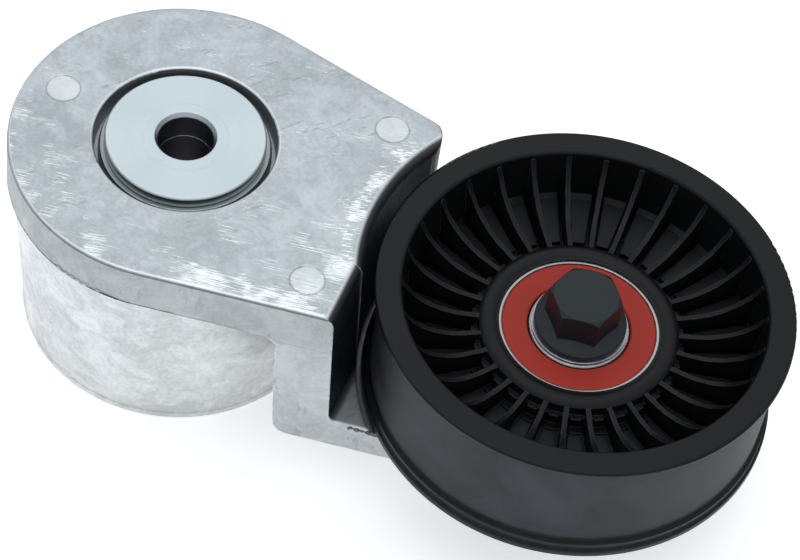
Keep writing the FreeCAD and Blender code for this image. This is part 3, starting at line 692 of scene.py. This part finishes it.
def belt_face_mask(tree, to_axis, height):
    """1 on the face that the belt runs on."""
    off_face = maths(tree, "ABSOLUTE", maths(tree, "SUBTRACT", to_axis, BELT_FACE_R))
    above_flange = remap(tree, height, pulley_low.z + 4.4 * MM, pulley_low.z + 6.0 * MM, smooth=True)
    below_rim = remap(tree, height, pulley_high.z - 2.2 * MM, pulley_high.z - 1.4 * MM, 1.0, 0.0,
                      smooth=True)
    on_face = remap(tree, off_face, 0.15 * MM, 0.4 * MM, 1.0, 0.0)
    return times(tree, on_face, times(tree, above_flange, below_rim))


def pulley_nylon():
    material, tree, shader = new_material("glass filled nylon", IOR=1.30)
    position = put(tree, "TexCoord").outputs["Object"]
    grain = place(tree, GRAIN, Grain_size=2600.0, Dust=0.35)
    edge = place(tree, WORN_EDGE, Width=0.3 * MM, Break_up=500.0)
    to_axis = radius_from(tree, position, BEARING)
    height = put(tree, "SeparateXYZ", Vector=position).outputs["Z"]
    belt_face = belt_face_mask(tree, to_axis, height)
    moulded = blend_colours(tree, grain["Clouds"], rgb(0.0035, 0.0037, 0.0042),
                            rgb(0.0065, 0.0068, 0.0075))
    # the belt face's greyer colour: polish from the belt, and a painted sheen
    polished_and_sheen = blend_colours(tree, remap(tree, grain["Clouds"], 0.3, 0.7),
                             rgb(0.014, 0.0165, 0.020), rgb(0.044, 0.048, 0.055))
    colour = blend_colours(tree, belt_face, moulded, polished_and_sheen)
    colour = blend_colours(tree, times(tree, grain["Dust"], 0.3), colour, PALE_DUST)
    # painted highlight on the edges of the ribs and rims
    colour = blend_colours(tree, times(tree, edge["Mask"], 0.50), colour, NYLON_EDGE_HIGHLIGHT)
    wire(tree, shader.inputs["Base Color"], colour)
    inside = remap(tree, to_axis, BELT_FACE_R - 6 * MM, BELT_FACE_R - 5 * MM, 0.04, 0.0)
    rough = maths(tree, "ADD", remap(tree, grain["Clouds"], 0.3, 0.7, 0.28, 0.42), inside)
    rough = maths(tree, "ADD", rough, times(tree, belt_face, 0.20))
    wire(tree, shader.inputs["Roughness"], rough)
    bump(tree, shader, grain["Height"], 0.03 * MM, 0.5, normal=edge["Normal"])
    return material


MATERIALS["pulley_nylon"] = pulley_nylon()
print("belt face from", round(pulley_low.z / MM, 1), "to", round(pulley_high.z / MM, 1), "mm")

# %% [markdown]
# ### Rubber and the hidden plastics
# The seal is brick-red rubber with faint moulded rings and a little pale dust. The bushings,
# washers and damping ring are plain moulded plastics, so one function with two colours
# serves them all.

# %% Rubber and plastics
def seal_rubber():
    material, tree, shader = new_material("red seal rubber", IOR=1.3)
    grain = place(tree, GRAIN, Grain_size=2800.0, Dust=0.3)
    rings = place(tree, TURNED_RINGS, Centre=BEARING, Pitch=900.0)
    base = blend_colours(tree, grain["Clouds"], rgb(0.35, 0.024, 0.014), rgb(0.43, 0.034, 0.021))
    base = blend_colours(tree, grain["Dust"], base, rgb(0.50, 0.30, 0.27))
    wire(tree, shader.inputs["Base Color"], base)
    wire(tree, shader.inputs["Roughness"], remap(tree, rings["Fade"], 0.3, 0.7, 0.40, 0.55))
    height = maths(tree, "ADD", rings["Height"], grain["Height"])
    bump(tree, shader, height, 0.03 * MM, 0.5)
    return material


def plain_polymer(name, light, dark):
    material, tree, shader = new_material(name, IOR=1.5)
    grain = place(tree, GRAIN, Grain_size=2200.0)
    wire(tree, shader.inputs["Base Color"], blend_colours(tree, grain["Clouds"], dark, light))
    wire(tree, shader.inputs["Roughness"], remap(tree, grain["Clouds"], 0.3, 0.7, 0.42, 0.6))
    bump(tree, shader, grain["Height"], 0.04 * MM, 0.5)
    return material


MATERIALS["seal_rubber"] = seal_rubber()
MATERIALS["bushing_polymer"] = plain_polymer(
    "bushing liner", rgb(0.22, 0.16, 0.09), rgb(0.13, 0.09, 0.05))
MATERIALS["washer_polymer"] = plain_polymer(
    "wear washer", rgb(0.10, 0.11, 0.11), rgb(0.05, 0.055, 0.055))
MATERIALS["damper_nylon"] = plain_polymer(
    "natural nylon", rgb(0.60, 0.54, 0.42), rgb(0.42, 0.37, 0.28))
print("materials:", len(MATERIALS))

# %% [markdown]
# ### Dress the nodes
# The record says which finish each node takes, so a loop can dress them all. A missing
# finish would stop the script here with a clear error.

# %% Assign the materials
for subpart in record["subparts"]:
    node = nodes[subpart["node"]]
    for material_slot in node.material_slots:
        material_slot.material = MATERIALS[subpart["material_slot"]]
print("dressed", len(record["subparts"]), "nodes")

# %% [markdown]
# ## Torn flash
# Where the halves of a die meet, metal squeezes into the gap and leaves flash. Most of it is
# trimmed off, but a thin torn line stays under the skirt, and a ragged lip on the lower
# plate. Bump can't change an outline, so these are real meshes: a thin tube is swept along
# the edge with bmesh, and noise makes it swell into beads.

# %% Flash maker
TUBE_SIDES = 8
THINNEST = 0.02     # millimetres, so that the ends don't close to a point
UP = Vector((0, 0, 1))


def tube(points, sizes, flatness):
    """A closed tube along points. Flatness squeezes it towards the wall that it lies on."""
    shape = bmesh.new()
    turns = [math.tau * corner / TUBE_SIDES for corner in range(TUBE_SIDES)]
    rings = []
    for index, (point, size) in enumerate(zip(points, sizes)):
        along = points[min(index + 1, len(points) - 1)] - points[max(index - 1, 0)]
        outward = along.cross(UP).normalized()
        rings.append([shape.verts.new(
            point + (outward * math.cos(turn) * flatness + UP * math.sin(turn)) * size)
            for turn in turns])
    for first, second in zip(rings, rings[1:]):
        for corner in range(TUBE_SIDES):
            after = (corner + 1) % TUBE_SIDES
            shape.faces.new((first[corner], first[after], second[after], second[corner]))
    shape.faces.new(rings[0])
    shape.faces.new(rings[-1])
    bmesh.ops.recalc_face_normals(shape, faces=shape.faces)
    return shape


def flash(name, points, sizes, flatness, finish):
    mesh = bpy.data.meshes.new(name)
    shape = tube(points, sizes, flatness)
    shape.to_mesh(mesh)
    shape.free()
    mesh.shade_smooth()
    mesh.materials.append(finish)
    piece = bpy.data.objects.new(name, mesh)
    bpy.context.scene.collection.objects.link(piece)
    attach(piece, "swing_arm")
    print(name, "has", len(mesh.polygons), "faces")


def bead(place_on_edge, seed):
    """Noise from 0 to about 1 along an edge."""
    return max(0.0, noise.noise(Vector((place_on_edge, seed, 0.0))) + 0.25)


def fade_at_ends(step, steps, reach):
    return min(1.0, step / reach, (steps - step) / reach)


print("a flash tube has", TUBE_SIDES, "sides")

# %% [markdown]
# ### Flash under the skirt
# The line follows the skirt's lower edge round the front of the head. Along a shorter part
# of it the metal has gathered into a row of small beads. Both are tubes along the same
# circle: the first stays thin, and the second sits a little higher and swells in a rhythm.

# %% Flash under the skirt
SKIRT_EDGE = CASE_TOP + 0.3 * MM
LINE_FROM, LINE_TO, LINE_STEPS = -152.0, -82.0, 280       # azimuths in degrees
BEADS_FROM, BEADS_TO, BEADS_STEPS = -111.5, -92.0, 240


def along_skirt(start, end, steps, lift, size_at):
    """Points and sizes along the skirt's lower edge, between two azimuths in degrees."""
    points, sizes = [], []
    for step in range(steps + 1):
        degrees = start + (end - start) * step / steps
        turn = math.radians(degrees)
        wobble = noise.noise(Vector((degrees * 0.9, 3.0, 0.0))) * 0.10 * MM
        height = SKIRT_EDGE + lift + wobble
        points.append(Vector((HEAD_R * math.cos(turn), HEAD_R * math.sin(turn), height)))
        sizes.append(max(THINNEST, size_at(degrees) * fade_at_ends(step, steps, 8)) * MM)
    return points, sizes


def line_size(degrees):
    return 0.05 + 0.10 * bead(degrees * 0.8, 7.0)


def bead_size(degrees):
    return 0.12 + 0.42 * abs(math.sin(degrees * 1.25)) * bead(degrees * 0.45, 1.0) ** 0.5


line_points, line_sizes = along_skirt(LINE_FROM, LINE_TO, LINE_STEPS, 0.05 * MM, line_size)
flash("skirt_flash", line_points, line_sizes, 0.8, MATERIALS["arm_aluminium"])
bead_points, bead_sizes = along_skirt(BEADS_FROM, BEADS_TO, BEADS_STEPS, 0.62 * MM, bead_size)
flash("skirt_beads", bead_points, bead_sizes, 0.9, MATERIALS["arm_aluminium"])

# %% [markdown]
# ### Torn lip on the lower plate
# The side of the plate keeps a ragged lip, as flash does when it is torn off and not filed.
# Its tube follows the arm's straight lower side, wanders up and down, and lies nearly flat on
# the wall. Its finish is rough, between near black and dark grey.

# %% Torn lip on the lower plate
LOWER_SIDE = math.radians(-81.5)    # azimuth where the arm's lower side leaves the head
SIDE_DRAFT = 0.0192                 # growth of the head's radius per unit of depth
LIP_FROM, LIP_TO, LIP_STEPS = 57.2 * MM, 65.0 * MM, 110
LIP_HEIGHT = PLATE_TOP - 1.15 * MM


def plate_side_point(x, z):
    """Point of the arm's lower side at a given x. The side slopes out towards the foot."""
    radius = HEAD_R + (SKIRT_EDGE - z) * SIDE_DRAFT
    touch = Vector((math.cos(LOWER_SIDE), math.sin(LOWER_SIDE))) * radius
    along = (x - touch.x) / -math.sin(LOWER_SIDE)
    return Vector((x, touch.y + along * math.cos(LOWER_SIDE), z))


def dark_flash():
    material, tree, shader = new_material("dark flash", Metallic=1.0, Roughness=0.55)
    grain = place(tree, GRAIN, Grain_size=1500.0)
    tone = remap(tree, grain["Height"], 0.4, 0.65)
    wire(tree, shader.inputs["Base Color"], blend_colours(tree, tone, NEAR_BLACK, DEEP_GREY))
    bump(tree, shader, grain["Height"], 0.08 * MM, 0.8)
    return material


def plate_lip():
    points, sizes = [], []
    for step in range(LIP_STEPS + 1):
        x = LIP_FROM + (LIP_TO - LIP_FROM) * step / LIP_STEPS
        ragged = noise.noise(Vector((x * 900.0, 5.0, 0.0))) * 0.55 * MM
        points.append(plate_side_point(x, LIP_HEIGHT + ragged))
        size = (0.34 + 0.85 * bead(x * 1100.0, 2.0)) * fade_at_ends(step, LIP_STEPS, 6)
        sizes.append(max(THINNEST, size) * MM)
    flash("plate_lip", points, sizes, 0.28, dark_flash())


plate_lip()

# %% [markdown]
# ## Studio
# A pale floor, a white surround and three large soft lights give the even light of a product
# picture. The main light stands behind and above the part, so that rounded edges catch it.

# %% Floor and lights
def pale_floor():
    mesh = bpy.data.meshes.new("floor")
    half = 4.0
    corners = [(-half, -half, 0), (half, -half, 0), (half, half, 0), (-half, half, 0)]
    mesh.from_pydata(corners, [], [(0, 1, 2, 3)])
    floor = bpy.data.objects.new("floor", mesh)
    floor.location.z = -0.2 * MM
    bpy.context.scene.collection.objects.link(floor)
    material, tree, shader = new_material("floor paper", Roughness=0.9)
    shader.inputs["Base Color"].default_value = rgb(0.92, 0.92, 0.92)
    shader.inputs["Emission Color"].default_value = rgb(1.0, 1.0, 1.0)
    shader.inputs["Emission Strength"].default_value = 0.5
    mesh.materials.append(material)


def soft_light(name, size, power, place_at, look_at):
    data = bpy.data.lights.new(name, "AREA")
    data.shape = "RECTANGLE"
    data.size, data.size_y = size
    data.energy = power
    light = bpy.data.objects.new(name, data)
    light.location = place_at
    light.rotation_euler = (Vector(look_at) - Vector(place_at)).to_track_quat("-Z", "Y").to_euler()
    bpy.context.scene.collection.objects.link(light)


pale_floor()
middle = (Vector(cad_box[0]) + Vector(cad_box[1])) / 2
soft_light("back light", (1.2, 0.8), 1.1, (-0.45, 0.8, 0.95), middle)
soft_light("side light", (0.8, 0.8), 0.18, (0.75, -0.45, 0.9), middle)
soft_light("top light", (0.80, 0.60), 1.3, (0.0, 0.05, 1.2), middle)
world = bpy.data.worlds.new("white surround")
world.use_nodes = True
sky = world.node_tree
sky.nodes["Background"].inputs["Color"].default_value = rgb(0.88, 0.955, 1.0)
rise = put(sky, "SeparateXYZ", Vector=put(sky, "TexCoord").outputs["Generated"]).outputs["Z"]
dome = remap(sky, rise, 0.05, 0.80, 0.30, 0.90, smooth=True)
wire(sky, sky.nodes["Background"].inputs["Strength"], dome)
bpy.context.scene.world = world
bpy.context.scene.view_settings.view_transform = "Standard"
print("studio ready")

# %% [markdown]
# ## Camera
# The camera looks down at about fifty degrees from the front, slightly to the right, and is
# rolled a little. Its axes are worked out from these three angles.

# %% Camera
AZIMUTH, ELEVATION, ROLL = math.radians(13.66), math.radians(52.55), math.radians(9.40)
LENS_MM = 123.6
CAMERA_AT = Vector((0.14859, -0.38156, 0.54998))


def camera_axes():
    back = Vector((math.sin(AZIMUTH) * math.cos(ELEVATION), -math.cos(AZIMUTH) * math.cos(ELEVATION),
                   math.sin(ELEVATION)))
    right = Vector((math.cos(AZIMUTH), math.sin(AZIMUTH), 0))
    up = back.cross(right)
    x_axis = right * math.cos(ROLL) + up * math.sin(ROLL)
    y_axis = up * math.cos(ROLL) - right * math.sin(ROLL)
    return x_axis, y_axis, back


camera_data = bpy.data.cameras.new("camera")
camera_data.lens = LENS_MM
camera_data.sensor_width = 36.0
camera_data.clip_start = 0.01
camera = bpy.data.objects.new("camera", camera_data)
camera.matrix_world = Matrix(camera_axes()).transposed().to_4x4()
camera.location = CAMERA_AT
bpy.context.scene.collection.objects.link(camera)
bpy.context.scene.camera = camera
print("camera at", tuple(round(c, 3) for c in CAMERA_AT))
